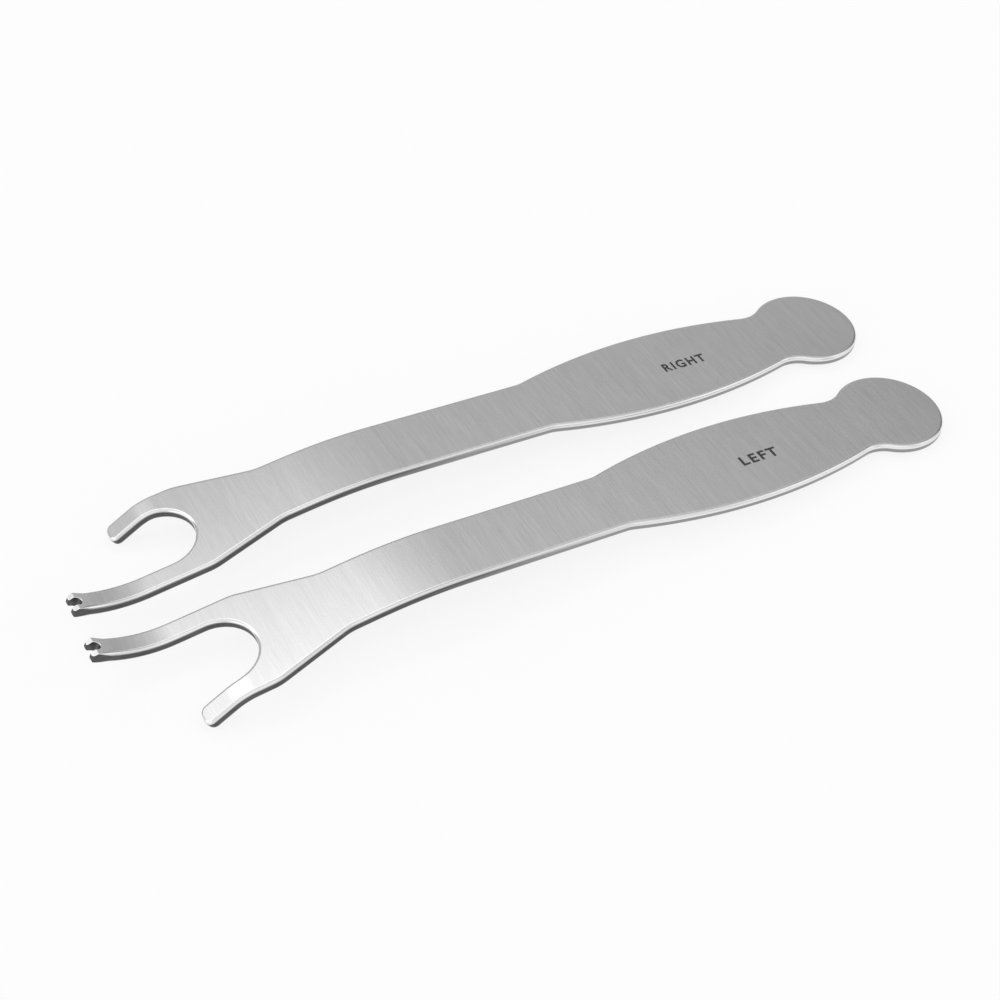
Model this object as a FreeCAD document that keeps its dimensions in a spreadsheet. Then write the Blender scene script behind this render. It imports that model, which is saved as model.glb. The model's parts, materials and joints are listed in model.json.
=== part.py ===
import FreeCAD, Part
import math
import os
import Sketcher

# A pair of glenoid retractors, left and right, each cut from one steel plate and bent.
# Millimetres and degrees. +X runs from the round knob to the fork, +Y is the left side, +Z is up.
# The origin lies under the middle of the pair, on the surface that both instruments rest on.

# Driving sizes. Places along X are measured from the end of the knob, seen from above.
SIZES = {
    # Outline of the plate
    "knob_radius": 15.7,
    "handle_width": 31.3,
    "handle_middle": 68.7,
    "handle_side_radius": 158.6,
    "waist_round": 9.5,
    "neck_round": 9.3,
    "blade_width": 20.3,
    "flare_start": 191.7,
    "flare_length": 21.5,
    "flare_round": 14.0,
    "fork_width": 31.5,
    "fork_shift": 0.3,
    # Gap of the fork, and the sweep of the long prong away from it
    "gap_start": 213.1,
    "gap_width": 19.5,
    "sweep_start": 226.7,
    "sweep_radius": 345.0,
    # Side view: the handle rises from the knob, and the blade falls to the fork
    "plate_thickness": 3.0,
    "edge_break": 0.5,
    "handle_slope": 3.9,
    "arch_start": 158.3,
    "arch_radius": 145.5,
    "blade_slope": 6.1,
    # Short prong, bent down
    "short_bend_start": 219.1,
    "short_bend_radius": 15.2,
    "short_slope": 30.9,
    "short_length": 8.1,
    "short_corner": 2.2,
    # Long prong, curved up
    "long_bend_start": 230.5,
    "long_bend_radius": 34.5,
    "long_slope": 26.0,
    "long_length": 2.1,
    "long_corner": 0.8,
    # Notch and bevel that leave two teeth at the tip of the long prong
    "tip_notch_width": 2.6,
    "tip_notch_depth": 2.8,
    "tip_bevel": 1.2,
    # Lie of the pair
    "pair_spacing": 42.7,
    "left_lead": 0.9,
}

doc = FreeCAD.newDocument("glenoid_retractors")
sheet = doc.addObject("Spreadsheet::Sheet", "sizes")
for row, (alias, value) in enumerate(SIZES.items(), start=1):
    sheet.set(f"A{row}", alias)
    sheet.set(f"B{row}", str(value))
    sheet.setAlias(f"B{row}", alias)
doc.recompute()
own = {alias: float(sheet.get(alias)) for alias in SIZES}

# The block that each instrument is cut from reaches past the plate above, below and at the tips.
HALF_BLOCK = ("(sizes.arch_start * tan(sizes.handle_slope * 1 deg) + sizes.short_bend_radius"
              " + sizes.short_length + sizes.plate_thickness)")
BLOCK_END = "sizes.long_bend_start + sizes.long_bend_radius + sizes.long_length"


# Sketching. A chain is a closed run of lines and arcs, each a dictionary with its two ends.

def line(name, start, end):
    return {"name": name, "start": start, "end": end}


def arc(name, centre, start, end, clockwise):
    return {"name": name, "start": start, "end": end, "centre": centre, "clockwise": clockwise}


def vector(point):
    return FreeCAD.Vector(point[0], point[1], 0)


def arc_geometry(piece):
    centre = piece["centre"]
    ends = [piece["start"], piece["end"]]
    if piece["clockwise"]:
        ends.reverse()
    first, last = [math.atan2(y - centre[1], x - centre[0]) for x, y in ends]
    if last < first:
        last += 2 * math.pi
    circle = Part.Circle(vector(centre), FreeCAD.Vector(0, 0, 1), math.dist(centre, piece["start"]))
    return Part.ArcOfCircle(circle, first, last)


def draw_chain(sketch, chain, smooth=()):
    """Adds the chain and joins it end to end; where two names are in smooth, they are tangent."""
    for piece in chain:
        if "centre" in piece:
            piece["index"] = sketch.addGeometry(arc_geometry(piece), False)
        else:
            segment = Part.LineSegment(vector(piece["start"]), vector(piece["end"]))
            piece["index"] = sketch.addGeometry(segment, False)
        piece["head"], piece["tail"] = (2, 1) if piece.get("clockwise") else (1, 2)
    for before, after in zip(chain, chain[1:] + chain[:1]):
        join = "Tangent" if (before["name"], after["name"]) in smooth else "Coincident"
        ends = (before["index"], before["tail"], after["index"], after["head"])
        sketch.addConstraint(Sketcher.Constraint(join, *ends))
    return {piece["name"]: piece for piece in chain}


def drive(sketch, kind, places, value, formula):
    """Adds a dimension and binds it to the sheet."""
    index = sketch.addConstraint(Sketcher.Constraint(kind, *places, value))
    sketch.setExpression(f"Constraints[{index}]", formula)


def pin(sketch, piece, end, axis, formula, sign=1):
    """Holds one end of a piece at a signed distance from the sketch's origin along an axis."""
    point = sketch.getPoint(piece["index"], end)
    value = point.x if axis == "X" else point.y
    places = [(-1, 1), (piece["index"], end)]
    if sign < 0:
        places.reverse()
    drive(sketch, f"Distance{axis}", [*places[0], *places[1]], sign * value, formula)


def new_sketch(body, name, role):
    sketch = body.newObject("Sketcher::SketchObject", name)
    plane = next(item for item in body.Origin.OriginFeatures if item.Role == role)
    sketch.AttachmentSupport = [(plane, "")]
    sketch.MapMode = "FlatFace"
    return sketch


# Outline of the left instrument, seen from above, with the short prong on its +Y side.

def circles_meet(first, first_radius, second, second_radius):
    """The meeting point of two circles that lies on the left of the line between them."""
    apart = math.dist(first, second)
    along = (apart**2 + first_radius**2 - second_radius**2) / (2 * apart)
    across = math.sqrt(first_radius**2 - along**2)
    way = [(b - a) / apart for a, b in zip(first, second)]
    return (first[0] + along * way[0] - across * way[1], first[1] + along * way[1] + across * way[0])


def outline_chain():
    knob = (own["knob_radius"], 0)
    side_depth = own["handle_side_radius"] - own["handle_width"] / 2
    side = (own["handle_middle"], -side_depth)
    other_side = (own["handle_middle"], side_depth)
    waist = circles_meet(knob, own["knob_radius"], side, own["handle_side_radius"])
    half_blade = own["blade_width"] / 2
    neck_reach = math.sqrt(own["handle_side_radius"]**2 - (side_depth + half_blade)**2)
    neck = (own["handle_middle"] + neck_reach, half_blade)
    flare = (own["flare_start"], half_blade)
    shoulder_x = own["flare_start"] + own["flare_length"]
    short_outer = own["fork_shift"] + own["fork_width"] / 2
    long_outer = own["fork_shift"] - own["fork_width"] / 2
    gap = (own["gap_start"] + own["gap_width"] / 2, own["fork_shift"])
    short_inner = gap[1] + own["gap_width"] / 2
    long_inner = gap[1] - own["gap_width"] / 2
    short_end = own["short_bend_start"] + own["short_bend_radius"] + own["short_length"]
    long_end = own["long_bend_start"] + own["long_bend_radius"] + own["long_length"]
    sweep = (own["sweep_start"], (long_outer + long_inner) / 2 - own["sweep_radius"])

    def swept_end(start_y):
        radius = start_y - sweep[1]
        return (long_end, sweep[1] + math.sqrt(radius**2 - (long_end - sweep[0])**2))

    waist_other, neck_other, flare_other = [(x, -y) for x, y in (waist, neck, flare)]
    corners = {
        "shoulder": (shoulder_x, short_outer),
        "short_tip": (short_end, short_outer),
        "short_tip_inner": (short_end, short_inner),
        "gap_short": (gap[0], short_inner),
        "gap_long": (gap[0], long_inner),
        "sweep_inner": (sweep[0], long_inner),
        "long_tip_inner": swept_end(long_inner),
        "long_tip": swept_end(long_outer),
        "sweep_outer": (sweep[0], long_outer),
        "shoulder_other": (shoulder_x, long_outer),
    }
    return [
        arc("side", side, waist, neck, True),
        line("blade", neck, flare),
        line("flare", flare, corners["shoulder"]),
        line("short_outer", corners["shoulder"], corners["short_tip"]),
        line("short_end", corners["short_tip"], corners["short_tip_inner"]),
        line("short_inner", corners["short_tip_inner"], corners["gap_short"]),
        arc("gap", gap, corners["gap_short"], corners["gap_long"], False),
        line("long_inner", corners["gap_long"], corners["sweep_inner"]),
        arc("sweep_inner", sweep, corners["sweep_inner"], corners["long_tip_inner"], True),
        line("long_end", corners["long_tip_inner"], corners["long_tip"]),
        arc("sweep_outer", sweep, corners["long_tip"], corners["sweep_outer"], False),
        line("long_outer", corners["sweep_outer"], corners["shoulder_other"]),
        line("flare_other", corners["shoulder_other"], flare_other),
        line("blade_other", flare_other, neck_other),
        arc("side_other", other_side, neck_other, waist_other, True),
        arc("knob", knob, waist_other, waist, True),
    ]


def draw_outline(body):
    sketch = new_sketch(body, "outline", "XY_Plane")
    smooth = [("short_inner", "gap"), ("gap", "long_inner"), ("long_inner", "sweep_inner"),
              ("sweep_outer", "long_outer")]
    part = draw_chain(sketch, outline_chain(), smooth)
    for name in ("blade", "blade_other", "short_outer", "short_inner", "long_inner", "long_outer"):
        sketch.addConstraint(Sketcher.Constraint("Horizontal", part[name]["index"]))
    for name in ("short_end", "long_end"):
        sketch.addConstraint(Sketcher.Constraint("Vertical", part[name]["index"]))
    sketch.addConstraint(Sketcher.Constraint("PointOnObject", part["knob"]["index"], 3, -1))
    radii = {
        "knob": "sizes.knob_radius",
        "side": "sizes.handle_side_radius",
        "side_other": "sizes.handle_side_radius",
        "gap": "sizes.gap_width / 2",
        "sweep_inner": "sizes.sweep_radius + (sizes.fork_width - sizes.gap_width) / 4",
        "sweep_outer": "sizes.sweep_radius - (sizes.fork_width - sizes.gap_width) / 4",
    }
    for name, formula in radii.items():
        radius = math.dist(part[name]["centre"], part[name]["start"])
        drive(sketch, "Radius", [part[name]["index"]], radius, formula)
    side_depth = "sizes.handle_side_radius - sizes.handle_width / 2"
    blade_side = "sizes.blade_width / 2"
    shoulder_x = "sizes.flare_start + sizes.flare_length"
    pin(sketch, part["knob"], 3, "X", "sizes.knob_radius")
    for name, sign in (("side", -1), ("side_other", 1)):
        pin(sketch, part[name], 3, "X", "sizes.handle_middle")
        pin(sketch, part[name], 3, "Y", side_depth, sign)
    pin(sketch, part["flare"], 1, "X", "sizes.flare_start")
    pin(sketch, part["flare"], 1, "Y", blade_side)
    pin(sketch, part["flare"], 2, "X", shoulder_x)
    pin(sketch, part["flare"], 2, "Y", "sizes.fork_width / 2 + sizes.fork_shift")
    pin(sketch, part["flare_other"], 2, "X", "sizes.flare_start")
    pin(sketch, part["flare_other"], 2, "Y", blade_side, -1)
    pin(sketch, part["flare_other"], 1, "X", shoulder_x)
    pin(sketch, part["flare_other"], 1, "Y", "sizes.fork_width / 2 - sizes.fork_shift", -1)
    pin(sketch, part["gap"], 3, "X", "sizes.gap_start + sizes.gap_width / 2")
    pin(sketch, part["gap"], 3, "Y", "sizes.fork_shift")
    pin(sketch, part["short_end"], 1, "X",
        "sizes.short_bend_start + sizes.short_bend_radius + sizes.short_length")
    pin(sketch, part["long_end"], 1, "X", BLOCK_END)
    pin(sketch, part["sweep_inner"], 3, "X", "sizes.sweep_start")
    pin(sketch, part["sweep_outer"], 3, "X", "sizes.sweep_start")
    return sketch


# Side view: the bent plate as a strip between two offsets of its middle line.

def turned(point, heading, radius, heading_after, falling):
    """Centre of a bend that starts at point, and the point where it reaches heading_after."""
    hand = 1 if falling else -1
    centre = (point[0] + hand * radius * math.sin(heading), point[1] - hand * radius * math.cos(heading))
    after = (centre[0] - hand * radius * math.sin(heading_after),
             centre[1] + hand * radius * math.cos(heading_after))
    return centre, after


def strip_chain(prong):
    thickness = own["plate_thickness"]
    rise = math.radians(own["handle_slope"])
    fall = -math.radians(own["blade_slope"])
    falling = prong == "short"
    end_slope = math.radians(own[f"{prong}_slope"]) * (-1 if falling else 1)
    bend_start = own[f"{prong}_bend_start"]
    start_x = -thickness * (1 + math.sin(rise) / 2)
    start = (start_x, start_x * math.tan(rise))
    arch_start = (own["arch_start"], own["arch_start"] * math.tan(rise))
    arch_centre, arch_end = turned(arch_start, rise, own["arch_radius"], fall, True)
    bend = (bend_start, arch_end[1] + (bend_start - arch_end[0]) * math.tan(fall))
    bend_centre, bend_end = turned(bend, fall, own[f"{prong}_bend_radius"], end_slope, falling)
    length = own[f"{prong}_length"]
    tip = (bend_end[0] + length * math.cos(end_slope), bend_end[1] + length * math.sin(end_slope))

    def beside(point, heading, side):
        offset = side * thickness / 2
        return (point[0] - offset * math.sin(heading), point[1] + offset * math.cos(heading))

    stations = [(start, rise), (arch_start, rise), (arch_end, fall), (bend, fall),
                (bend_end, end_slope), (tip, end_slope)]
    under = [beside(point, heading, -1) for point, heading in stations]
    over = [beside(point, heading, 1) for point, heading in stations]
    return [
        line("handle_under", under[0], under[1]),
        arc("arch_under", arch_centre, under[1], under[2], True),
        line("blade_under", under[2], under[3]),
        arc("bend_under", bend_centre, under[3], under[4], falling),
        line("prong_under", under[4], under[5]),
        line("tip", under[5], over[5]),
        line("prong_over", over[5], over[4]),
        arc("bend_over", bend_centre, over[4], over[3], not falling),
        line("blade_over", over[3], over[2]),
        arc("arch_over", arch_centre, over[2], over[1], False),
        line("handle_over", over[1], over[0]),
        line("butt", over[0], under[0]),
    ]


def draw_frame(sketch):
    """The outer rectangle of the waste, which is larger than the block on every side."""
    margin = own["plate_thickness"]
    rise = own["arch_start"] * math.tan(math.radians(own["handle_slope"]))
    reach = rise + own["short_bend_radius"] + own["short_length"] + 2 * margin
    end = own["long_bend_start"] + own["long_bend_radius"] + own["long_length"] + margin
    corners = [(-2 * margin, -reach), (end, -reach), (end, reach), (-2 * margin, reach)]
    names = ["bottom", "right", "top", "left"]
    sides = [line(*side) for side in zip(names, corners, corners[1:] + corners[:1])]
    part = draw_chain(sketch, sides)
    for name, kind in zip(names, ["Horizontal", "Vertical"] * 2):
        sketch.addConstraint(Sketcher.Constraint(kind, part[name]["index"]))
    pin(sketch, part["bottom"], 1, "X", "2 * sizes.plate_thickness", -1)
    pin(sketch, part["bottom"], 1, "Y", f"{HALF_BLOCK} + sizes.plate_thickness", -1)
    pin(sketch, part["top"], 1, "X", f"{BLOCK_END} + sizes.plate_thickness")
    pin(sketch, part["top"], 1, "Y", f"{HALF_BLOCK} + sizes.plate_thickness")


def draw_waste(body, prong):
    """All that is cut away from the block on one prong's side: a frame around the strip."""
    sketch = new_sketch(body, f"waste_{prong}", "XZ_Plane")
    runs = ["handle", "arch", "blade", "bend", "prong"]
    smooth = [(f"{a}_under", f"{b}_under") for a, b in zip(runs, runs[1:])]
    smooth += [(f"{b}_over", f"{a}_over") for a, b in zip(runs, runs[1:])]
    part = draw_chain(sketch, strip_chain(prong), smooth)
    for name in ("handle", "blade", "prong"):
        pair = (part[f"{name}_under"]["index"], part[f"{name}_over"]["index"])
        sketch.addConstraint(Sketcher.Constraint("Parallel", *pair))
    for name in ("arch", "bend"):
        centres = (part[f"{name}_under"]["index"], 3, part[f"{name}_over"]["index"], 3)
        sketch.addConstraint(Sketcher.Constraint("Coincident", *centres))
    for first, second in (("butt", "handle_under"), ("tip", "prong_under")):
        ends = (part[first]["index"], part[second]["index"])
        sketch.addConstraint(Sketcher.Constraint("Perpendicular", *ends))

    falling = prong == "short"
    slopes = {
        "handle_under": (own["handle_slope"], "sizes.handle_slope * 1 deg"),
        "blade_under": (-own["blade_slope"], "-sizes.blade_slope * 1 deg"),
        "prong_under": (own[f"{prong}_slope"], f"sizes.{prong}_slope * 1 deg"),
    }
    if falling:
        slopes["prong_under"] = (-own["short_slope"], "-sizes.short_slope * 1 deg")
    for name, (angle, formula) in slopes.items():
        drive(sketch, "Angle", [part[name]["index"]], math.radians(angle), formula)
    half = "sizes.plate_thickness / 2"
    radii = {
        "arch_under": f"sizes.arch_radius - {half}",
        "arch_over": f"sizes.arch_radius + {half}",
        "bend_under": f"sizes.{prong}_bend_radius {'-' if falling else '+'} {half}",
    }
    for name, formula in radii.items():
        radius = math.dist(part[name]["centre"], part[name]["start"])
        drive(sketch, "Radius", [part[name]["index"]], radius, formula)
    pin(sketch, part["arch_under"], 3, "X",
        "sizes.arch_start + sizes.arch_radius * sin(sizes.handle_slope * 1 deg)")
    pin(sketch, part["arch_under"], 3, "Y",
        "sizes.arch_radius * cos(sizes.handle_slope * 1 deg)"
        " - sizes.arch_start * tan(sizes.handle_slope * 1 deg)", -1)
    turn = "-" if falling else "+"
    pin(sketch, part["bend_under"], 3, "X",
        f"sizes.{prong}_bend_start {turn} sizes.{prong}_bend_radius * sin(sizes.blade_slope * 1 deg)")
    drive(sketch, "Distance", [part["prong_under"]["index"]], own[f"{prong}_length"],
          f"sizes.{prong}_length")
    pin(sketch, part["handle_under"], 1, "X", "sizes.plate_thickness", -1)
    draw_frame(sketch)
    return sketch


# Features

# The swept wall of the long prong leaves its corner edges a little off square, in radians.
TIP_TOLERANCE = 0.1
# The plate's faces lean no more than about forty degrees, and only along the length.
LEAST_FACE_RISE = 0.75
MOST_FACE_ROLL = 0.1
# Two points closer than this are the same point
SAME_POINT = 1e-6


def edges_at(shape, points):
    """Names of the upright edges of the block that stand at the given outline points."""
    uprights = {}
    for number, edge in enumerate(shape.Edges, start=1):
        ends = [vertex.Point for vertex in edge.Vertexes]
        if len(ends) == 2 and math.dist(ends[0][:2], ends[1][:2]) < SAME_POINT:
            uprights[f"Edge{number}"] = ends[0][:2]
    return [min(uprights, key=lambda name: math.dist(uprights[name], point)) for point in points]


def tip_corners(shape, slope, side):
    """Names of the two corner edges of a prong's end, which stand square to the plate there."""
    square = FreeCAD.Vector(-math.sin(slope), 0, math.cos(slope))
    names = []
    for number, edge in enumerate(shape.Edges, start=1):
        ends = [vertex.Point for vertex in edge.Vertexes]
        if len(ends) < 2 or side * ends[0].y < 0:
            continue
        way = (ends[1] - ends[0]).normalize()
        if abs(way.dot(square)) > math.cos(TIP_TOLERANCE):
            names.append(f"Edge{number}")
    return names


def is_plate_face(face):
    """True for the upper and lower faces of the plate, false for its cut edges."""
    first_u, last_u, first_v, last_v = face.ParameterRange
    normal = face.normalAt((first_u + last_u) / 2, (first_v + last_v) / 2)
    return abs(normal.z) > LEAST_FACE_RISE and abs(normal.y) < MOST_FACE_ROLL


def rim_edges(shape):
    """Names of the edges where the plate's faces meet its cut edges."""
    plate_faces = [face for face in shape.Faces if is_plate_face(face)]
    names = []
    for number, edge in enumerate(shape.Edges, start=1):
        touching = [face for face in plate_faces if any(side.isSame(edge) for side in face.Edges)]
        if len(touching) == 1:
            names.append(f"Edge{number}")
    return names


def add_fillet(body, name, names, formula):
    base = body.Tip
    fillet = body.newObject("PartDesign::Fillet", name)
    fillet.Base = (base, names)
    fillet.setExpression("Radius", formula)
    body.Tip = fillet
    doc.recompute()
    return fillet


def break_rim(body):
    """A narrow slope all round the plate, above and below, where its edges are ground off."""
    base = body.Tip
    slope = body.newObject("PartDesign::Chamfer", "broken_rim")
    slope.Base = (base, rim_edges(base.Shape))
    slope.setExpression("Size", "sizes.edge_break")
    body.Tip = slope
    doc.recompute()


def cut_waste(body, prong, reversed_way):
    """Cuts the frame around the strip away on one side of the XZ plane."""
    sketch = draw_waste(body, prong)
    pocket = body.newObject("PartDesign::Pocket", f"side_view_{prong}")
    pocket.Profile = sketch
    pocket.Type = "ThroughAll"
    pocket.Reversed = reversed_way
    pocket.Refine = True
    body.Tip = pocket
    doc.recompute()
    return pocket


# Where the middle of the plate ends at the long prong's tip, and the middle of the prong there
LONG_TIP = {
    "X": "sizes.long_bend_start + sizes.long_bend_radius * (sin(sizes.blade_slope * 1 deg)"
         " + sin(sizes.long_slope * 1 deg)) + sizes.long_length * cos(sizes.long_slope * 1 deg)",
    "Z": "sizes.arch_start * tan(sizes.handle_slope * 1 deg)"
         " + sizes.arch_radius * (cos(sizes.blade_slope * 1 deg) - cos(sizes.handle_slope * 1 deg))"
         " - (sizes.long_bend_start - sizes.arch_start - sizes.arch_radius"
         " * (sin(sizes.handle_slope * 1 deg) + sin(sizes.blade_slope * 1 deg)))"
         " * tan(sizes.blade_slope * 1 deg)"
         " + sizes.long_bend_radius * (cos(sizes.blade_slope * 1 deg) - cos(sizes.long_slope * 1 deg))"
         " + sizes.long_length * sin(sizes.long_slope * 1 deg)",
}
LONG_TIP["Y"] = ("sizes.fork_shift - (sizes.fork_width + sizes.gap_width) / 4 - sizes.sweep_radius"
                 f" + sqrt(sizes.sweep_radius ^ 2 - ({LONG_TIP['X']} - sizes.sweep_start) ^ 2)")


def place_at_tip(sketch, across):
    """Turns a sketch so that its origin is the long prong's tip and its X axis runs out of it."""
    axis, turn, bound = (0, 1, 0), "-sizes.long_slope", {"x": "X", "y": "Y", "z": "Z"}
    if not across:
        axis, turn, bound = (0, 0, 1), "sizes.long_slope", {"x": "X", "y": "Z"}
    rotation = FreeCAD.Rotation(FreeCAD.Vector(*axis), 1)
    sketch.AttachmentOffset = FreeCAD.Placement(FreeCAD.Vector(0, 0, 0), rotation)
    sketch.setExpression("AttachmentOffset.Rotation.Angle", f"{turn} * 1 deg")
    for place, coordinate in bound.items():
        sketch.setExpression(f"AttachmentOffset.Base.{place}", LONG_TIP[coordinate])


def cut_bevel(body):
    """The bevel of the tip's upper edge, cut in the side view."""
    sketch = new_sketch(body, "bevel_side", "XZ_Plane")
    place_at_tip(sketch, across=False)
    bevel = own["tip_bevel"]
    top = own["plate_thickness"] / 2
    corners = [(-bevel, top), (0, top - bevel), (bevel, top - bevel), (bevel, top + bevel),
               (-bevel, top + bevel)]
    names = ["slope", "step", "front", "roof", "back"]
    sides = [line(*side) for side in zip(names, corners, corners[1:] + corners[:1])]
    part = draw_chain(sketch, sides)
    for name, kind in zip(names[1:], ["Horizontal", "Vertical"] * 2):
        sketch.addConstraint(Sketcher.Constraint(kind, part[name]["index"]))
    pin(sketch, part["slope"], 1, "X", "sizes.tip_bevel", -1)
    pin(sketch, part["slope"], 1, "Y", "sizes.plate_thickness / 2")
    pin(sketch, part["slope"], 2, "Y", "sizes.plate_thickness / 2 - sizes.tip_bevel")
    sketch.addConstraint(Sketcher.Constraint("PointOnObject", part["slope"]["index"], 2, -2))
    pin(sketch, part["front"], 2, "X", "sizes.tip_bevel")
    pin(sketch, part["front"], 2, "Y", "sizes.plate_thickness / 2 + sizes.tip_bevel")
    cut_through(body, sketch, "tip_bevel_cut")


def cut_notch(body):
    """The round-bottomed notch between the two teeth, cut square to the prong."""
    sketch = new_sketch(body, "notch_plan", "XY_Plane")
    place_at_tip(sketch, across=True)
    half = own["tip_notch_width"] / 2
    middle = half - own["tip_notch_depth"]
    reach = own["tip_notch_width"]
    chain = [
        line("upper", (reach, half), (middle, half)),
        arc("bottom", (middle, 0), (middle, half), (middle, -half), False),
        line("lower", (middle, -half), (reach, -half)),
        line("mouth", (reach, -half), (reach, half)),
    ]
    part = draw_chain(sketch, chain, [("upper", "bottom"), ("bottom", "lower")])
    sketch.addConstraint(Sketcher.Constraint("Horizontal", part["upper"]["index"]))
    sketch.addConstraint(Sketcher.Constraint("Horizontal", part["lower"]["index"]))
    sketch.addConstraint(Sketcher.Constraint("Vertical", part["mouth"]["index"]))
    sketch.addConstraint(Sketcher.Constraint("PointOnObject", part["bottom"]["index"], 3, -1))
    drive(sketch, "Radius", [part["bottom"]["index"]], half, "sizes.tip_notch_width / 2")
    pin(sketch, part["bottom"], 3, "X", "sizes.tip_notch_depth - sizes.tip_notch_width / 2", -1)
    pin(sketch, part["mouth"], 1, "X", "sizes.tip_notch_width")
    cut_through(body, sketch, "tip_notch")


def cut_through(body, sketch, name):
    pocket = body.newObject("PartDesign::Pocket", name)
    pocket.Profile = sketch
    pocket.Type = "ThroughAll"
    pocket.SideType = "Symmetric"
    body.Tip = pocket
    doc.recompute()


def build_left():
    body = doc.addObject("PartDesign::Body", "left_retractor")
    outline = draw_outline(body)
    block = body.newObject("PartDesign::Pad", "block")
    block.Profile = outline
    block.SideType = "Symmetric"
    block.setExpression("Length", f"2 * {HALF_BLOCK}")
    body.Tip = block
    doc.recompute()

    corner = {piece["name"]: piece["start"] for piece in outline_chain()}
    rounds = {
        "waist_round": ["side", "knob"],
        "neck_round": ["blade", "side_other"],
        "flare_round": ["flare", "blade_other", "short_outer", "flare_other"],
    }
    for alias, names in rounds.items():
        points = [corner[name] for name in names]
        add_fillet(body, alias, edges_at(body.Shape, points), f"sizes.{alias}")

    cut_waste(body, "short", False)
    cut_waste(body, "long", True)
    tips = {
        "short": (-math.radians(own["short_slope"]), 1, "sizes.short_corner"),
        "long": (math.radians(own["long_slope"]), -1, "sizes.long_corner"),
    }
    for prong, (slope, side, formula) in tips.items():
        add_fillet(body, f"{prong}_corners", tip_corners(body.Shape, slope, side), formula)
    break_rim(body)
    cut_bevel(body)
    cut_notch(body)
    return body


# The pair lies side by side with the short prongs outward, and each rests on its knob and its
# short prong. The left instrument lies a little ahead of the right one.

left = build_left()
right = doc.addObject("Part::Mirroring", "right_retractor")
right.Source = left
right.Normal = FreeCAD.Vector(0, 1, 0)
doc.recompute()

bounds = left.Shape.optimalBoundingBox(False, False)
pair_end = bounds.XMax + own["left_lead"]
left.Placement.Base = FreeCAD.Vector(own["left_lead"] - pair_end / 2, own["pair_spacing"] / 2, -bounds.ZMin)
right.Placement.Base = FreeCAD.Vector(-own["left_lead"], 0, 0)
doc.recompute()


def check_document():
    for item in doc.Objects:
        if "Invalid" in item.State or "Error" in item.State:
            raise RuntimeError(f"{item.Name} failed: {item.State}")


check_document()
os.makedirs("parts", exist_ok=True)
for instrument in (left, right):
    instrument.Label = instrument.Name
    shape = instrument.Shape
    if shape.isNull() or not shape.isValid() or len(shape.Solids) != 1:
        raise RuntimeError(f"{instrument.Label} is not one valid solid")
    shape.exportStep(f"parts/{instrument.Label}.step")
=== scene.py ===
import json
import math
import bmesh
import bpy
import numpy as np
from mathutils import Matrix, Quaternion, Vector


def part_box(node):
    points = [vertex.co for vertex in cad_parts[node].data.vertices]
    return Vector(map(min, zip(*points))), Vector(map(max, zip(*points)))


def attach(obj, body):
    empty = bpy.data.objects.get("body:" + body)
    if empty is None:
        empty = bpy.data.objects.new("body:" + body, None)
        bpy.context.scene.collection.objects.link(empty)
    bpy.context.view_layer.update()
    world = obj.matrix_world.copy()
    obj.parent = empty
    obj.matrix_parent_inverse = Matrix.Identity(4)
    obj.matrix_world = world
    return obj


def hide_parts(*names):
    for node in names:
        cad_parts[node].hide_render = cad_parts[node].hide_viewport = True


# A pair of shoulder retractors in satin steel, left and right, on a pale table.
# Shapes are worked out in millimetres from the end of the knob; the shared frame is in metres.

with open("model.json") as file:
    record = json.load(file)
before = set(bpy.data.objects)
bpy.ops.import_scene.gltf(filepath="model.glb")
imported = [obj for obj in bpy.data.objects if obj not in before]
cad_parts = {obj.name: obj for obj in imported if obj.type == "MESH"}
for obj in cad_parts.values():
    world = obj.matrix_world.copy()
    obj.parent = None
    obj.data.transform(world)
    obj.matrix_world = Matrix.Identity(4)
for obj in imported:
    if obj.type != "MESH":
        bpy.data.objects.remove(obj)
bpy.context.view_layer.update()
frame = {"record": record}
bodies = frame["record"]["behaviour"]["bodies"]
nodeBody = {node: body for body, nodes in bodies.items() for node in nodes}
mm = 0.001
mergeDistance = 0.002 * mm    # points nearer than this are one point
sliverLength = 0.0005 * mm    # edges shorter than this are taken out


# Small tools

def smooth(x, start, end):
    # 0 before start, 1 after end, an S curve between
    t = np.clip((x - start) / (end - start), 0, 1)
    return t * t * (3 - 2 * t)


def linear(hexColour):
    # sRGB hex to linear RGBA
    values = [int(hexColour[i:i + 2], 16) / 255 for i in (1, 3, 5)]
    return [v / 12.92 if v < 0.04045 else ((v + 0.055) / 1.055) ** 2.4 for v in values] + [1]


def addNode(tree, kind, at, inputs=None, **properties):
    # one node with its own properties; an input is given a value, or the output that it is linked to
    node = tree.nodes.new(kind)
    node.location = at
    for name, value in properties.items():
        setattr(node, name, value)
    for socket, value in (inputs or {}).items():
        if isinstance(value, bpy.types.NodeSocket):
            tree.links.new(value, node.inputs[socket])
        else:
            node.inputs[socket].default_value = value
    return node


def newMaterial(name):
    material = bpy.data.materials.new(name)
    material.use_nodes = True
    material.node_tree.nodes.clear()
    return material


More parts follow.
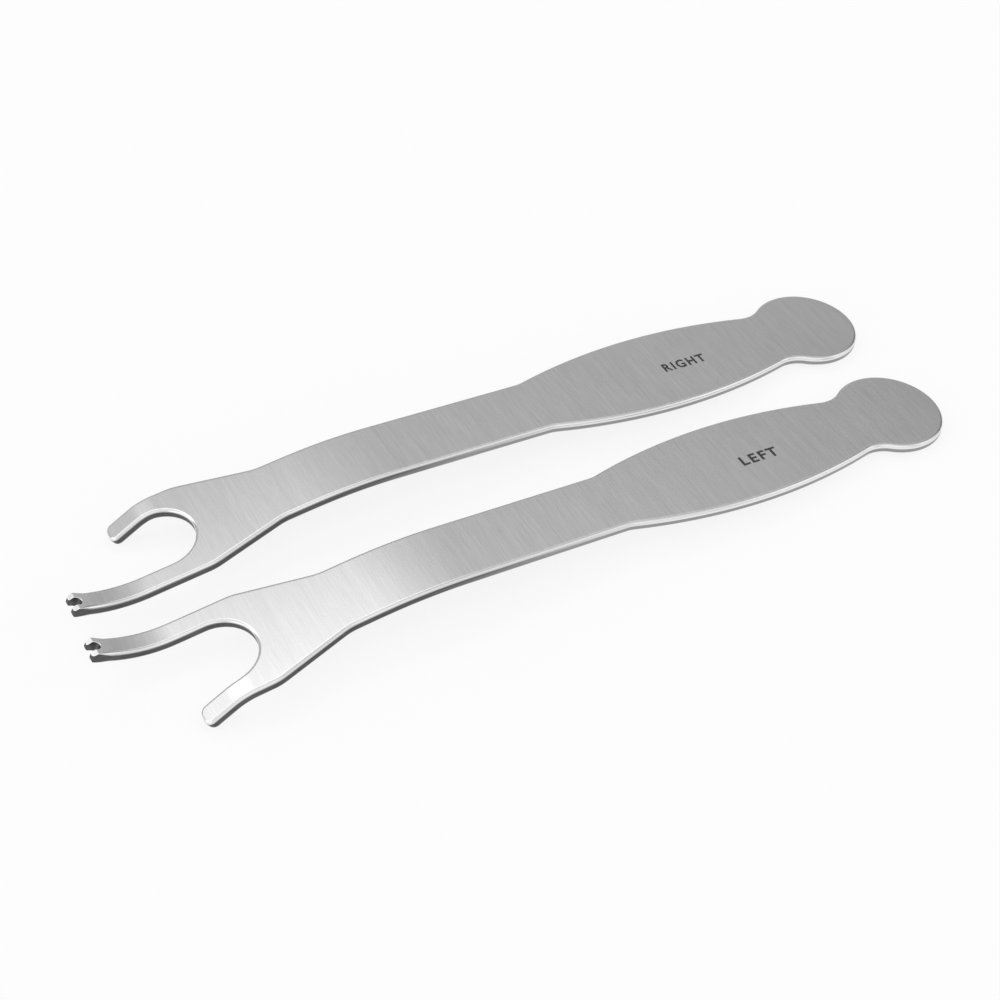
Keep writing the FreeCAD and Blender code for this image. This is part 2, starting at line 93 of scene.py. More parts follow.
def newMesh(name, vertices, faces, attributes, uv):
    # attributes and uv hold a value for each vertex; closes seams and poles, then shades it smooth
    mesh = bpy.data.meshes.new(name)
    mesh.from_pydata(vertices, [], faces)
    corners = np.empty(len(mesh.loops), int)
    mesh.loops.foreach_get("vertex_index", corners)
    mesh.uv_layers.new(name="plate").data.foreach_set("uv", uv[corners].ravel())
    for label, values in attributes.items():
        mesh.attributes.new(label, "FLOAT", "POINT").data.foreach_set("value", values)
    shell = bmesh.new()
    shell.from_mesh(mesh)
    bmesh.ops.remove_doubles(shell, verts=shell.verts, dist=mergeDistance)
    bmesh.ops.dissolve_degenerate(shell, edges=shell.edges, dist=sliverLength)
    shell.to_mesh(mesh)
    shell.free()
    mesh.polygons.foreach_set("use_smooth", [True] * len(mesh.polygons))
    mesh.update()
    thing = bpy.data.objects.new(name, mesh)
    bpy.context.collection.objects.link(thing)
    return thing


# The plate's outline, in millimetres from the end of the knob

plate = {
    "thickness": 3.0, "edgeRound": 0.85,
    "knobRadius": 15.7,
    "handleWidth": 31.3, "handleMiddle": 68.7, "handleSideRadius": 158.6,
    "waistRound": 9.5, "neckRound": 9.3,
    "bladeWidth": 20.3,
    "flareStart": 191.7, "flareLength": 21.5, "flareRound": 14.0,
    "forkWidth": 31.5, "forkShift": 0.3,
    "gapStart": 213.1, "gapWidth": 19.5,
    "sweepStart": 226.7, "sweepRadius": 345.0,
    "handleSlope": 3.9, "archStart": 158.3, "archRadius": 145.5, "bladeSlope": 6.1,
    "short": {"bendStart": 219.1, "bendRadius": 15.2, "slope": -30.9, "length": 8.1, "corner": 2.2},
    "long": {"bendStart": 230.5, "bendRadius": 34.5, "slope": 26.0, "length": 2.1, "corner": 0.8},
    "tipRound": 0.2, "tipBreak": 0.6, "tipBevel": 1.2,
    "tipBlend": (1.0, 5.0),      # from the long tip, where the rounding grows from tipRound to edgeRound
    "notchWidth": 2.6, "notchDepth": 2.8, "notchCorner": 0.35,
    "squareCut": (180, 200),     # the sides stand upright before here and square to the plate after
}


def circlesMeet(first, firstRadius, second, secondRadius):
    # the meeting point on the left of the line between the two centres
    first, second = np.array(first, float), np.array(second, float)
    apart = np.linalg.norm(second - first)
    along = (apart**2 + firstRadius**2 - secondRadius**2) / (2 * apart)
    way = (second - first) / apart
    return first + along * way + math.sqrt(firstRadius**2 - along**2) * np.array([-way[1], way[0]])


def arcSide(x, centre, radius, bulge, inset):
    # y of an arc of the outline; bulge is 1 where it is rounded outwards, -1 where it is hollow
    reach = radius - bulge * inset
    return centre[1] + bulge * np.sqrt(np.clip(reach**2 - (x - centre[0])**2, 0, None))


def sideOutline(x, outer, inset):
    # the plate's side as y at x, in order: knob, waist, handle, neck, blade, flare, shoulder
    knob, knobRadius = (plate["knobRadius"], 0), plate["knobRadius"]
    sideRadius = plate["handleSideRadius"]
    handle = (plate["handleMiddle"], plate["handleWidth"] / 2 - sideRadius)
    blade = plate["bladeWidth"] / 2
    waistRound, neckRound, flareRound = plate["waistRound"], plate["neckRound"], plate["flareRound"]
    waist = circlesMeet(knob, knobRadius + waistRound, handle, sideRadius + waistRound)
    neckY = blade + neckRound
    neck = (handle[0] + math.sqrt((sideRadius + neckRound)**2 - (neckY - handle[1])**2), neckY)
    rise = (outer - blade) / plate["flareLength"]
    lean = math.sqrt(1 + rise**2)
    shift = flareRound * (lean - 1) / rise
    hollow = (plate["flareStart"] - shift, blade + flareRound)
    shoulder = (plate["flareStart"] + plate["flareLength"] + shift, outer - flareRound)

    def joint(centre, radius, towards):
        way = np.subtract(towards, centre)
        return centre[0] + (radius - inset) * way[0] / np.linalg.norm(way)

    ends = [joint(knob, knobRadius, waist), joint(handle, sideRadius, waist),
            joint(handle, sideRadius, neck), neck[0], hollow[0],
            hollow[0] + (flareRound + inset) * rise / lean,
            shoulder[0] - (flareRound - inset) * rise / lean, shoulder[0]]
    runs = [arcSide(x, knob, knobRadius, 1, inset), arcSide(x, waist, waistRound, -1, inset),
            arcSide(x, handle, sideRadius, 1, inset), arcSide(x, neck, neckRound, -1, inset),
            0 * x + blade - inset, arcSide(x, hollow, flareRound, -1, inset),
            blade + rise * (x - plate["flareStart"]) - inset * lean,
            arcSide(x, shoulder, flareRound, 1, inset), 0 * x + outer - inset]
    return np.choose(np.searchsorted(ends, x), runs)


def gapSide(x, inset):
    # half width of the fork's gap at x: a half circle, then straight
    radius = plate["gapWidth"] / 2
    middle = plate["gapStart"] + radius
    reach = radius + inset
    return np.where(x < middle, np.sqrt(np.clip(reach**2 - (x - middle)**2, 0, None)), reach)


def sweptSide(x, start, inset):
    # y of the long prong's side that starts at y = start: straight, then swept outwards on an arc
    middle = plate["forkShift"] - (plate["forkWidth"] + plate["gapWidth"]) / 4
    hand = 1 if start > middle else -1
    radius = plate["sweepRadius"] + start - middle - hand * inset
    past = np.clip(x - plate["sweepStart"], 0, None)
    return middle - plate["sweepRadius"] + np.sqrt(radius**2 - past**2)


# The plate's side view

def sideView(prong):
    # Slope, height and length along the plate's middle. The sine of the slope changes evenly in each
    # bend. The height is the running sum of its tangent, the length that of one over its cosine.
    first, last, step = -2, 270, 0.01    # from before the knob to past the prongs
    x = np.linspace(first, last, round((last - first) / step) + 1)
    rise = math.sin(math.radians(plate["handleSlope"]))
    fall = -math.sin(math.radians(plate["bladeSlope"]))
    sine = np.clip(rise - (x - plate["archStart"]) / plate["archRadius"], fall, rise)
    end = math.sin(math.radians(prong["slope"])) - fall
    sine += np.sign(end) * np.clip((x - prong["bendStart"]) / prong["bendRadius"], 0, abs(end))
    slope = np.arcsin(sine)
    height, along = [np.concatenate([[0], np.cumsum((values[1:] + values[:-1]) / 2) * (x[1] - x[0])])
                     for values in (np.tan(slope), 1 / np.cos(slope))]
    height -= np.interp(0, x, height)
    turn = math.radians(prong["slope"])
    bendEnd = prong["bendStart"] + prong["bendRadius"] * abs(end)
    return {"x": x, "slope": slope, "height": height, "along": along,
            "tip": bendEnd + prong["length"] * math.cos(turn), "tipCos": math.cos(turn)}


views = {name: sideView(plate[name]) for name in ("short", "long")}


def fromTip(x, prong):
    # distance to the prong's end, measured in the plate
    return (views[prong]["tip"] - x) / views[prong]["tipCos"]


def bend(x, y, off, prong):
    # Carries a point of the flat plate, off above its middle, onto the bent plate. The tip of the
    # long prong is bevelled above, and a little below.
    view = views[prong]
    slope, height = [np.interp(x, view["x"], view[name]) for name in ("slope", "height")]
    if prong == "long":
        half, toEnd = plate["thickness"] / 2, fromTip(x, prong)
        off = np.clip(off, np.clip(plate["tipBreak"] - toEnd, 0, None) - half,
                      half - np.clip(plate["tipBevel"] - toEnd, 0, None))
    square = smooth(x, *plate["squareCut"])
    return np.stack([x - square * off * np.sin(slope), y,
                     height + off * (square * np.cos(slope) + (1 - square) / np.cos(slope))], -1)


# One retractor as three strips and a rim

grid = {
    # how many stations each curve of the outline has
    "knob": 26, "gap": 44, "shortCorner": 10, "notch": 16, "longCorner": 12,
    "rim": 8,                    # over the quarter round of an edge
    "rows": {"short": 10, "inner": 6, "outer": 6},
    "sideRow": 0.03,             # first and last row of a strip, as a share of its width
    # (x, spacing) marks along the handle and blade, closer together where the outline turns
    "body": ((25, 0.4), (37, 1.8), (100, 1.0), (117, 2.2), (157, 1.2), (186, 0.9)),
    "seam": (20, 200),           # along here the seam of the strips moves over to the fork's middle
    "notchLead": 6,              # this far before the notch it starts to move to the notch's middle
}
polishAndSideShade = {
    # heights above the plate's middle, where the side's upper tone ends and the painted shade on its lower
    # half starts
    "split": (0.35, 0.20),
    "polishAndHighlightGain": 1.4,           # the buffed edge's lighter tone, which also paints its highlight, grows this much faster than the edge turns outwards
    "sideShadeStart": 0.93,           # the side's painted shade starts where the edge has turned this far
    "upperShadeRun": (95, 165),      # along here the side's upper half goes from the edge's tone to painted shade
    "lowerShadeRun": (130, 180), "lowerShadeLeast": 0.70,    # the lower half is mostly painted shade from the knob on
}


def paced(*marks):
    # x stations: between (x, step) marks the spacing is about step
    runs = [np.linspace(a, b, max(2, round((b - a) / step) + 1))[:-1]
            for (a, step), (b, _) in zip(marks, marks[1:])]
    return np.concatenate(runs)


def quarter(start, end, count, closing=False):
    # stations crowded at the start as round a quarter circle, or at the end when closing
    t = np.linspace(0, math.pi / 2, count)
    share = np.sin(t) if closing else 1 - np.cos(t)
    return start + (end - start) * share


def cornerCut(x, prong, corner, inset):
    # how far a rounded corner at the prong's end draws its side in
    radius = corner - inset
    into = np.clip(radius - (fromTip(x, prong) - inset), 0, radius)
    return radius - np.sqrt(radius**2 - into**2)


def across(count):
    # even rows, with a narrow one at either side that keeps the flats flat beside the rim
    return np.concatenate([[0], np.linspace(grid["sideRow"], 1 - grid["sideRow"], count), [1]])


def makeStrips():
    # Each strip is y = low(x) + v (high(x) - low(x)); together they cover the plate once.
    edge, tipRound = plate["edgeRound"], plate["tipRound"]
    shortOuter = plate["forkShift"] + plate["forkWidth"] / 2
    longOuter = plate["forkWidth"] / 2 - plate["forkShift"]
    shift, gap, knobRadius = plate["forkShift"], plate["gapStart"], plate["knobRadius"]
    gapMiddle = gap + plate["gapWidth"] / 2
    body = np.concatenate([quarter(edge, knobRadius, grid["knob"])[:-1],
                           paced((knobRadius, 0.8), *grid["body"], (gap - edge, 1))])
    gapRun = quarter(gap - edge, gapMiddle, grid["gap"])

    shortCorner = plate["short"]["corner"]
    shortEnd = views["short"]["tip"] - edge * views["short"]["tipCos"]
    cornerStart = shortEnd - (shortCorner - edge) * views["short"]["tipCos"]
    shortX = np.concatenate([body, gapRun[:-1], paced((gapMiddle, 0.35), (cornerStart, 1)),
                             quarter(cornerStart, shortEnd, grid["shortCorner"], True)])
    inFork = shortX >= gap - edge
    cut = cornerCut(shortX, "short", shortCorner, edge)
    seam = shift * smooth(shortX, *grid["seam"])
    low = np.where(inFork, shift + gapSide(shortX, edge) + cut, seam)
    high = sideOutline(shortX, shortOuter, edge) - cut
    strips = {"short": {"x": shortX, "low": low, "high": high, "view": "short"}}

    tip, tipCos = views["long"]["tip"], views["long"]["tipCos"]
    notchRadius = plate["notchWidth"] / 2
    notchStart = tip - (plate["notchDepth"] + tipRound) * tipCos
    notchMiddle = tip - (plate["notchDepth"] - notchRadius) * tipCos
    bevelStart = tip - plate["tipBevel"] * tipCos
    cornerStart, end = tip - plate["long"]["corner"] * tipCos, tip - tipRound * tipCos
    longX = np.concatenate([body, gapRun[:-1],
                            paced((gapMiddle, 0.6), (notchStart - 3, 0.25), (notchStart, 1)),
                            quarter(notchStart, notchMiddle, grid["notch"])[:-1],
                            paced((notchMiddle, 0.1), (bevelStart, 0.1), (cornerStart, 1)),
                            quarter(cornerStart, end, grid["longCorner"], True)])
    inset = tipRound + (edge - tipRound) * smooth(fromTip(longX, "long"), *plate["tipBlend"])
    outer = np.where(longX < gapMiddle, -sideOutline(longX, longOuter, edge),
                     sweptSide(longX, -longOuter, inset))
    inner = np.where(longX < gap - edge, shift * smooth(longX, *grid["seam"]),
                     np.where(longX < gapMiddle, shift - gapSide(longX, edge),
                              sweptSide(longX, shift - plate["gapWidth"] / 2, inset)))
    middle = (outer + inner) / 2
    prongMiddle = shift - (plate["forkWidth"] + plate["gapWidth"]) / 4
    tipMiddle = sweptSide(np.array([tip]), prongMiddle, 0)[0]
    toNotch = smooth(longX, notchStart - grid["notchLead"], notchStart)
    middle += (tipMiddle - np.interp(tip, longX, middle)) * toNotch
    fromMiddle = (longX - notchMiddle) / tipCos
    notch = np.where(longX < notchMiddle,
                     np.sqrt(np.clip((notchRadius + tipRound)**2 - fromMiddle**2, 0, None)),
                     notchRadius + tipRound)
    inNotch = longX >= notchStart
    middle = np.where(inNotch, tipMiddle, middle)
    notch = np.where(inNotch, notch + cornerCut(longX, "long", plate["notchCorner"], tipRound), 0)
    cut = cornerCut(longX, "long", plate["long"]["corner"], tipRound)
    strips["inner"] = {"x": longX, "low": middle + notch, "high": inner - cut, "view": "long"}
    strips["outer"] = {"x": longX, "low": outer + cut, "high": middle - notch, "view": "long"}
    return strips, {"gap": len(body), "notch": int(np.argmax(inNotch)), "inset": inset}


def rimPath(strips, starts):
    # Clockwise round the three strips: short side, gap, both teeth, long side. Gives x, y, rounding
    # and whether the point is on the long prong's side view.
    short, inner, outer = (strips[name] for name in ("short", "inner", "outer"))
    gap, notch, tipRound = starts["gap"], starts["notch"], plate["tipRound"]
    samePoint = 1e-6
    runs = []

    def side(strip, which, first, last, rounding, backwards=False):
        x, y = strip["x"][first:last], strip[which][first:last]
        run = [x, y, np.broadcast_to(rounding, x.shape), np.full(x.shape, strip["view"] == "long")]
        runs.append([values[::-1] if backwards else values for values in run])

    def end(name, rounding):
        strip, v = strips[name], across(grid["rows"][name])[::-1]
        y = strip["low"][-1] + v * (strip["high"][-1] - strip["low"][-1])
        isLong = np.full(y.shape, strip["view"] == "long")
        runs.append([0 * y + strip["x"][-1], y, 0 * y + rounding, isLong])

    edge, inset = plate["edgeRound"], starts["inset"]
    side(short, "high", 0, None, edge)
    end("short", edge)
    side(short, "low", gap, None, edge, backwards=True)
    side(inner, "high", gap, None, inset[gap:])
    end("inner", tipRound)
    side(inner, "low", notch, None, tipRound, backwards=True)
    side(outer, "high", notch, None, tipRound)
    end("outer", tipRound)
    side(outer, "low", 0, None, inset, backwards=True)
    x, y, rounding, isLong = [np.concatenate(values) for values in zip(*runs)]
    apart = np.hypot(x - np.roll(x, 1), y - np.roll(y, 1)) > samePoint
    return x[apart], y[apart], rounding[apart], isLong[apart]


def bendEither(x, y, off, isLong):
    # bend by the long prong's side view where isLong, else by the short one's
    return np.where(isLong[..., None], bend(x, y, off, "long"), bend(x, y, off, "short"))


def gridFaces(rows, columns, start, flip, closed=False):
    # quads of a grid whose vertices run column by column from start
    lastRow = rows if closed else rows - 1
    i, j = np.meshgrid(np.arange(lastRow), np.arange(columns - 1), indexing="ij")
    after = (i + 1) % rows
    corners = [i * columns + j, after * columns + j, after * columns + j + 1, i * columns + j + 1]
    quads = start + np.stack([c.ravel() for c in corners], 1)
    return quads[:, ::-1] if flip else quads


def makeRetractor(name, node, mirrored):
    # The upper and lower flats of the strips, then the rim, with two masks: the buffed edge, whose lighter
    # tone also paints its highlight, and the sides' painted shade
    strips, starts = makeStrips()
    half = plate["thickness"] / 2
    points, faces, count = [], [], 0
    polishAndShadeMasks = {"polishAndHighlight": [], "side": []}
    for label, strip in strips.items():
        v = across(grid["rows"][label])
        x = np.repeat(strip["x"][:, None], len(v), 1)
        y = strip["low"][:, None] + v * (strip["high"] - strip["low"])[:, None]
        for off in (half, -half):
            points.append(bend(x, y, np.full(x.shape, off), strip["view"]).reshape(-1, 3))
            faces.append(gridFaces(*x.shape, count, flip=off < 0))
            for values in polishAndShadeMasks.values():
                values.append(np.zeros(x.size))
            count += x.size

    # The rim: a quarter round, the side and a quarter round, carried along the path. Two rows close
    # together on the side part its upper tone from the painted shade on its lower half.
    x, y, rounding, isLong = rimPath(strips, starts)
    long, short = views["long"], views["short"]
    cosine = np.where(isLong, np.interp(x, long["x"], np.cos(long["slope"])),
                      np.interp(x, short["x"], np.cos(short["slope"])))
    along = np.where(isLong, np.interp(x, long["x"], long["along"]), np.interp(x, short["x"], short["along"]))
    tangentX, tangentY = [np.roll(values, -1) - np.roll(values, 1) for values in (along, y)]
    length = np.hypot(tangentX, tangentY)
    outX, outY = -tangentY / length, tangentX / length
    turn = np.linspace(0, math.pi / 2, grid["rim"])
    out = np.concatenate([np.sin(turn), [1, 1], np.sin(turn)[::-1]])
    down = np.concatenate([1 - np.cos(turn), [1, -1], -(1 - np.cos(turn))[::-1]])
    rows = len(out)
    upper = np.arange(rows) < rows / 2
    off = np.where(upper, half, -half) - rounding[:, None] * down
    off[:, rows // 2 - 1], off[:, rows // 2] = polishAndSideShade["split"]
    reach = rounding[:, None] * out
    rimX, rimY = x[:, None] + outX[:, None] * cosine[:, None] * reach, y[:, None] + outY[:, None] * reach
    points.append(bendEither(rimX, rimY, off, np.repeat(isLong[:, None], rows, 1)).reshape(-1, 3))
    faces.append(gridFaces(len(x), rows, count, flip=False, closed=True))
    polishAndHighlight = np.clip(out * polishAndSideShade["polishAndHighlightGain"], 0, 1)
    polishAndShadeMasks["polishAndHighlight"].append(np.broadcast_to(polishAndHighlight, off.shape).ravel())
    # painted shade on the sides: on the handle the upper half takes the edge's tone and the lower half is
    # mostly dark; on the blade and fork both halves are dark
    least = polishAndSideShade["lowerShadeLeast"]
    sideShadeAlong = np.where(upper, smooth(x, *polishAndSideShade["upperShadeRun"])[:, None],
                    least + (1 - least) * smooth(x, *polishAndSideShade["lowerShadeRun"])[:, None])
    polishAndShadeMasks["side"].append((sideShadeAlong * smooth(out, polishAndSideShade["sideShadeStart"], 1.0)).ravel())

    points, faces = np.concatenate(points), np.concatenate(faces)
    if mirrored:
        points[:, 1] *= -1
        faces = faces[:, ::-1]
    # seated in the CAD node's own box: knob end, outer side and crown of the arch
    low, high = [np.array(corner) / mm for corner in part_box(node)]
    outerSide = plate["forkShift"] + plate["forkWidth"] / 2
    sideways = low[1] + outerSide if mirrored else high[1] - outerSide
    shift = np.array([low[0], sideways, high[2] - points[:, 2].max()])
    polishAndShadeMasks = {label: np.concatenate(values) for label, values in polishAndShadeMasks.items()}
    thing = newMesh(name, (points + shift) * mm, faces, polishAndShadeMasks, points[:, :2])
    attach(thing, nodeBody[node])
    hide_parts(node)
    return thing, shift


leftPlate, leftShift = makeRetractor("leftPlate", "left_retractor", mirrored=False)
rightPlate, rightShift = makeRetractor("rightPlate", "right_retractor", mirrored=True)
print("stage: retractor shapes", len(leftPlate.data.polygons), "faces each")


# Side marks

marks = {
    "height": 3.55, "boldness": 0.03, "spacing": 1.25,    # boldness is a share of the type size
    "proud": 0.012, "sunk": 0.03,
    "left": {"word": "LEFT", "length": 12.2, "middle": (-62.6, 22.7)},
    "right": {"word": "RIGHT", "length": 14.3, "middle": (-66.0, -20.8)},
}


def makeMark(name, words, shift, node):
    # Plain capitals, read from the fork towards the knob, just proud of the handle's upper face
    curve = bpy.data.curves.new(name, "FONT")
    curve.body = words["word"]
    curve.offset, curve.extrude = marks["boldness"], 0.1    # its real depth is set below
    curve.space_character = marks["spacing"]
    text = bpy.data.objects.new(name + "Curve", curve)
    bpy.context.collection.objects.link(text)
    bpy.context.view_layer.update()
    built = text.evaluated_get(bpy.context.evaluated_depsgraph_get())
    flat = bpy.data.meshes.new_from_object(built)
    bpy.data.objects.remove(text)
    letters = np.empty(len(flat.vertices) * 3)
    flat.vertices.foreach_get("co", letters)
    letters = letters.reshape(-1, 3)
    low, high = letters.min(0), letters.max(0)
    across, up, out = ((letters - (low + high) / 2) / (high - low)).T
    x = words["middle"][0] - shift[0] - across * words["length"]
    y = words["middle"][1] - shift[1] - up * marks["height"]
    off = plate["thickness"] / 2 + np.where(out > 0, marks["proud"], -marks["sunk"])
    flat.vertices.foreach_set("co", ((bend(x, y, off, "short") + shift) * mm).ravel())
    solid = bmesh.new()
    solid.from_mesh(flat)
    bmesh.ops.remove_doubles(solid, verts=solid.verts, dist=mergeDistance)
    bmesh.ops.recalc_face_normals(solid, faces=solid.faces)
    solid.to_mesh(flat)
    solid.free()
    letterMark = bpy.data.objects.new(name, flat)
    bpy.context.collection.objects.link(letterMark)
    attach(letterMark, nodeBody[node])
    return letterMark


leftMark = makeMark("leftMark", marks["left"], leftShift, "left_retractor")
rightMark = makeMark("rightMark", marks["right"], rightShift, "right_retractor")
print("stage: side marks")


# Materials

steel = {
    "darkLine": "#D1D1D1", "lightLine": "#DFDFDF",    # bare stainless steel, a neutral grey
    "edge": "#EAEAEA",                                # buffed rounding, lighter so that it also paints the edge's highlight
    "shadedSideDark": "#505050", "shadedSideLight": "#6A6A6A",    # painted shade on the sides, with ground lines along their length
    "roughness": 0.26, "edgeRoughness": 0.20, "sideRoughness": 0.42, "unevenness": 0.03,
    "anisotropy": 0.82,
    "lineWidth": 0.30, "lineLength": 9.0,   # brush lines; the real ones are near 0.05 mm wide
    "bandWidth": 1.6, "bandLength": 40.0,   # fainter bands that several lines make together
    "lineShare": 0.65, "bandShare": 0.35,   # how much of the tone each makes
    "range": (0.28, 0.72), "sideRange": (0.3, 0.7),   # of the patterns, from darkest to lightest
    "lineDepth": 0.0001, "sideLineDepth": 0.004,
    "edgeRelief": 0.15,                     # what buffing leaves of the brush lines' depth
    "patch": 14.0,                          # faint cloudy patches left by the belt
}
laser = {"dark": "#252525", "light": "#3D3D3D", "speck": 0.25, "roughness": 0.55}


def satinStainlessSteel():
    # Rolled stainless plate, belt-brushed across its width: soft, streaked reflections on the flats.
    # The upper edges are buffed, and their lighter tone also paints a highlight; the sides are rougher and
    # painted dark as shade, with lines along them.
    material = newMaterial("satinStainlessSteel")
    tree = material.node_tree
    place = addNode(tree, "ShaderNodeTexCoord", (-1600, 0)).outputs["Object"]
    # the first attribute marks the buffed edge, whose lighter tone also paints its highlight; the second
    # marks the sides' painted shade
    buffedAndHighlit, side = [addNode(tree, "ShaderNodeAttribute", (-1600, at), attribute_name=name).outputs["Fac"]
                    for name, at in (("polishAndHighlight", -900), ("side", -1100))]

    # patterns, each with its extent in mm along X, Y and Z
    width, length, patch = steel["lineWidth"], steel["lineLength"], steel["patch"]
    patterns = []
    for at, extent, detail in ((200, (width, length, width), 2.0),
                               (0, (steel["bandWidth"], steel["bandLength"], steel["bandWidth"]), 2.0),
                               (-250, (patch, patch, patch), 4.0),
                               (-500, (length, width, width), 3.0)):
        scaled = addNode(tree, "ShaderNodeMapping", (-1400, at),
                         {"Vector": place, "Scale": [1 / (size * mm) for size in extent]})
        patterns.append(addNode(tree, "ShaderNodeTexNoise", (-1200, at), {
            "Vector": scaled.outputs[0], "Scale": 1.0, "Detail": detail, "Roughness": 0.6}).outputs["Fac"])
    lines, bands, patches, sideLines = patterns

    # tone: lines and bands together, then the buffed edge with its painted highlight, then the side's painted
    # shade
    weighed = [addNode(tree, "ShaderNodeMath", (-1000, at), {0: pattern, 1: share},
                       operation="MULTIPLY").outputs[0]
               for at, pattern, share in ((200, lines, steel["lineShare"]), (0, bands, steel["bandShare"]))]
    grain = addNode(tree, "ShaderNodeMath", (-860, 200), dict(enumerate(weighed)), operation="ADD").outputs[0]
    grainShare, sideShare = [
        addNode(tree, "ShaderNodeMapRange", (-720, at), {"Value": value, "From Min": low, "From Max": high,
                                                         "To Min": 0.0, "To Max": 1.0}).outputs[0]
        for at, value, (low, high) in ((200, grain, steel["range"]), (-450, sideLines, steel["sideRange"]))]
    darkLine, lightLine, edgeHighlightTone, shadedSideDark, shadedSideLight = [
        linear(steel[name]) for name in ("darkLine", "lightLine", "edge", "shadedSideDark", "shadedSideLight")]
    flat = addNode(tree, "ShaderNodeMix", (-580, 250), {0: grainShare, 6: darkLine, 7: lightLine},
                   data_type="RGBA").outputs[2]
    # the buffed edge is lighter, which paints part of its highlight
    withEdgeHighlight = addNode(tree, "ShaderNodeMix", (-440, 250), {0: buffedAndHighlit, 6: flat, 7: edgeHighlightTone},
                    data_type="RGBA").outputs[2]
    # the sides' dark tone is painted shade, streaked by the lines along them
    shadedSide = addNode(tree, "ShaderNodeMix", (-580, -450), {0: sideShare, 6: shadedSideDark, 7: shadedSideLight},
                    data_type="RGBA").outputs[2]
    tone = addNode(tree, "ShaderNodeMix", (-300, 150), {0: side, 6: withEdgeHighlight, 7: shadedSide},
                   data_type="RGBA").outputs[2]

    # roughness: each finish has its own, and lines and patches vary it
    flatOrEdge = addNode(tree, "ShaderNodeMapRange", (-720, -650), {
        "Value": buffedAndHighlit, "From Min": 0.0, "From Max": 1.0,
        "To Min": steel["roughness"], "To Max": steel["edgeRoughness"]}).outputs[0]
    moreOnSide = addNode(tree, "ShaderNodeMapRange", (-720, -900), {
        "Value": side, "From Min": 0.0, "From Max": 1.0,
        "To Min": 0.0, "To Max": steel["sideRoughness"] - steel["edgeRoughness"]}).outputs[0]
    even = addNode(tree, "ShaderNodeMath", (-580, -700), {0: flatOrEdge, 1: moreOnSide}, operation="ADD")
    both = addNode(tree, "ShaderNodeMath", (-1000, -150), {0: lines, 1: patches}, operation="ADD")
    centred = addNode(tree, "ShaderNodeMath", (-860, -150), {0: both.outputs[0], 1: 1.0},
                      operation="SUBTRACT")
    uneven = addNode(tree, "ShaderNodeMath", (-720, -150), {0: steel["unevenness"], 1: centred.outputs[0]},
                     operation="MULTIPLY")
    rough = addNode(tree, "ShaderNodeMath", (-440, -300), {0: even.outputs[0], 1: uneven.outputs[0]},
                    operation="ADD").outputs[0]

    # relief: the brush lines on the flats fade out on the buffed edge
    strength = addNode(tree, "ShaderNodeMapRange", (-580, -1000), {
        "Value": buffedAndHighlit, "From Min": 0.0, "From Max": 1.0, "To Min": 1.0, "To Max": steel["edgeRelief"]})
    relief = addNode(tree, "ShaderNodeBump", (-440, -500), {
        "Height": lines, "Strength": strength.outputs[0], "Distance": steel["lineDepth"] * mm})
    relief = addNode(tree, "ShaderNodeBump", (-300, -600), {
        "Height": sideLines, "Strength": side, "Distance": steel["sideLineDepth"] * mm,
        "Normal": relief.outputs[0]})

    # the tangent runs along the plate, across the brush lines, where reflections spread most
    tangent = addNode(tree, "ShaderNodeTangent", (-300, -850), direction_type="UV_MAP", uv_map="plate")
    shader = addNode(tree, "ShaderNodeBsdfPrincipled", (-60, 0), {
        "Base Color": tone, "Metallic": 1.0, "Roughness": rough, "Normal": relief.outputs[0],
        "Anisotropic": steel["anisotropy"], "Tangent": tangent.outputs[0]})
    addNode(tree, "ShaderNodeOutputMaterial", (240, 0), {"Surface": shader.outputs[0]})
    return material


def laserMark():
    # Marking laser on stainless steel: a thin dark oxide, dull, unevenly dark in fine specks
    material = newMaterial("darkLaserMark")
    tree = material.node_tree
    place = addNode(tree, "ShaderNodeTexCoord", (-900, 0)).outputs["Object"]
    scaled = addNode(tree, "ShaderNodeMapping", (-700, 0), {
        "Vector": place, "Scale": [1 / (laser["speck"] * mm)] * 3})
    specks = addNode(tree, "ShaderNodeTexNoise", (-500, 0), {
        "Vector": scaled.outputs[0], "Scale": 1.0, "Detail": 2.0, "Roughness": 0.6}).outputs["Fac"]
    tone = addNode(tree, "ShaderNodeMix", (-300, 0), {
        0: specks, 6: linear(laser["dark"]), 7: linear(laser["light"])}, data_type="RGBA").outputs[2]
    shader = addNode(tree, "ShaderNodeBsdfPrincipled", (-100, 0), {
        "Base Color": tone, "Roughness": laser["roughness"]})
    addNode(tree, "ShaderNodeOutputMaterial", (200, 0), {"Surface": shader.outputs[0]})
    return material


steelMaterial, markMaterial = satinStainlessSteel(), laserMark()
for thing in (leftPlate, rightPlate):
    thing.data.materials.append(steelMaterial)
for thing in (leftMark, rightMark):
    thing.data.materials.clear()
    thing.data.materials.append(markMaterial)
print("stage: materials")


# Table, light and camera

